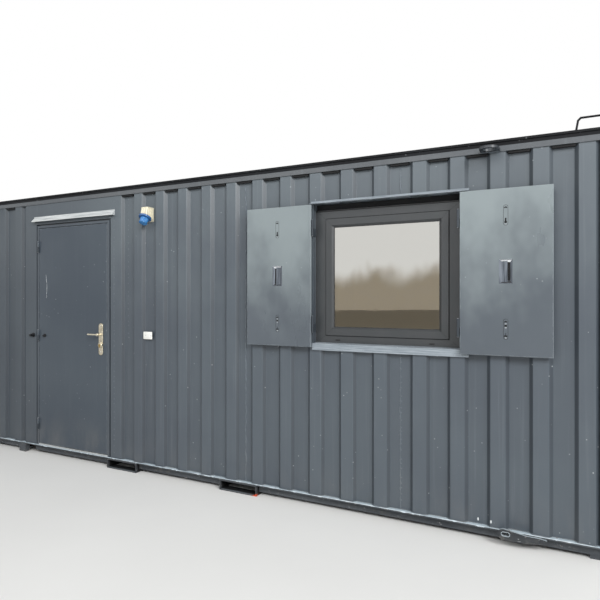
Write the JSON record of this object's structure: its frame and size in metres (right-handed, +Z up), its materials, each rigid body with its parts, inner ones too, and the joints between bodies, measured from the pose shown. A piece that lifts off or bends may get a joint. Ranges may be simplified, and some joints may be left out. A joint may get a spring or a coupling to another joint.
{
  "type": "portable site cabin",
  "caption": "Steel portable site cabin with corrugated walls, a steel door, a window with folding security shutters, fork pockets and lifting points.",
  "frame": {"origin": "on the ground under the middle of the floor, on the foot of the centre joist", "axes": "+X along the long side to the right seen from the front, +Y to the rear, +Z up"},
  "size_m": [6.1, 2.648, 2.501],
  "materials": {
    "wall_paint": "semi-gloss",
    "base_paint": "satin",
    "rail_paint": "satin",
    "roof_edge": "satin",
    "roof_steel": "matte",
    "joist_timber": "matte",
    "deck_board": "matte",
    "lining_board": "satin",
    "door_paint": "semi-gloss",
    "shutter_paint": "semi-gloss",
    "shutter_cup": "satin",
    "aluminium_trim": "brushed",
    "window_plastic": "satin",
    "window_pane": "clear",
    "handle_metal": "satin",
    "lock_brass": "satin",
    "inlet_cream": "matte",
    "inlet_blue": "gloss",
    "buffer_rubber": "matte"
  },
  "bodies": {
    "cabin": {"base_lugs": "base_paint", "ceiling_board": "lining_board", "corner_posts": "wall_paint", "door_canopy": "aluminium_trim", "door_frame": "door_paint", "door_head_panel": "wall_paint", "door_side_panels": "wall_paint", "door_threshold": "aluminium_trim", "end_base_rails": "base_paint", "end_linings": "lining_board", "end_walls": "wall_paint", "floor_deck": "deck_board", "floor_joists": "joist_timber", "fork_pockets": "base_paint", "front_walls": "wall_paint", "hinge_pins": "door_paint", "inlet_housing": "inlet_cream", "inlet_socket": "inlet_blue", "rear_wall": "wall_paint", "roof_edge_band": "roof_edge", "roof_hoops": "roof_edge", "roof_sheet": "roof_steel", "side_base_rails": "base_paint", "side_linings": "lining_board", "step_bracket": "base_paint", "top_lugs": "rail_paint", "top_rails": "rail_paint", "wall_buffer": "buffer_rubber", "window_drip_strips": "aluminium_trim", "window_frame": "window_plastic", "window_glass": "window_pane", "window_sash": "window_plastic", "window_wall_panels": "wall_paint"},
    "door": {"door_leaf": "door_paint", "door_hinge_barrels": "door_paint", "handle_plates": "handle_metal", "lock_cylinder": "lock_brass", "leaf_buffer": "buffer_rubber"},
    "door_handle": {"lever_handle": "handle_metal"},
    "left_shutter": {"left_shutter_panel": "shutter_paint", "left_shutter_cup": "shutter_cup", "left_shutter_hinges": "shutter_paint"},
    "right_shutter": {"right_shutter_panel": "shutter_paint", "right_shutter_cup": "shutter_cup", "right_shutter_hinges": "shutter_paint"}
  },
  "joints": [
    {"name": "door_hinge", "type": "hinge", "parent": "cabin", "child": "door", "pos_m": [-1.6565, -1.217, 1.12], "axis": [0, 0, -1], "range_deg": [0, 135]},
    {"name": "handle_turn", "type": "hinge", "parent": "door", "child": "door_handle", "pos_m": [-0.844, -1.207, 1.152], "axis": [0, -1, 0], "range_deg": [0, 40], "stiffness_Nm_per_rad": 1.5, "springref_deg": -20.05},
    {"name": "left_shutter_hinge", "type": "hinge", "parent": "cabin", "child": "left_shutter", "pos_m": [1.231, -1.235, 1.6285], "axis": [0, 0, 1], "range_deg": [0, 180]},
    {"name": "right_shutter_hinge", "type": "hinge", "parent": "cabin", "child": "right_shutter", "pos_m": [2.231, -1.2475, 1.6285], "axis": [0, 0, -1], "range_deg": [0, 180]}
  ]
}
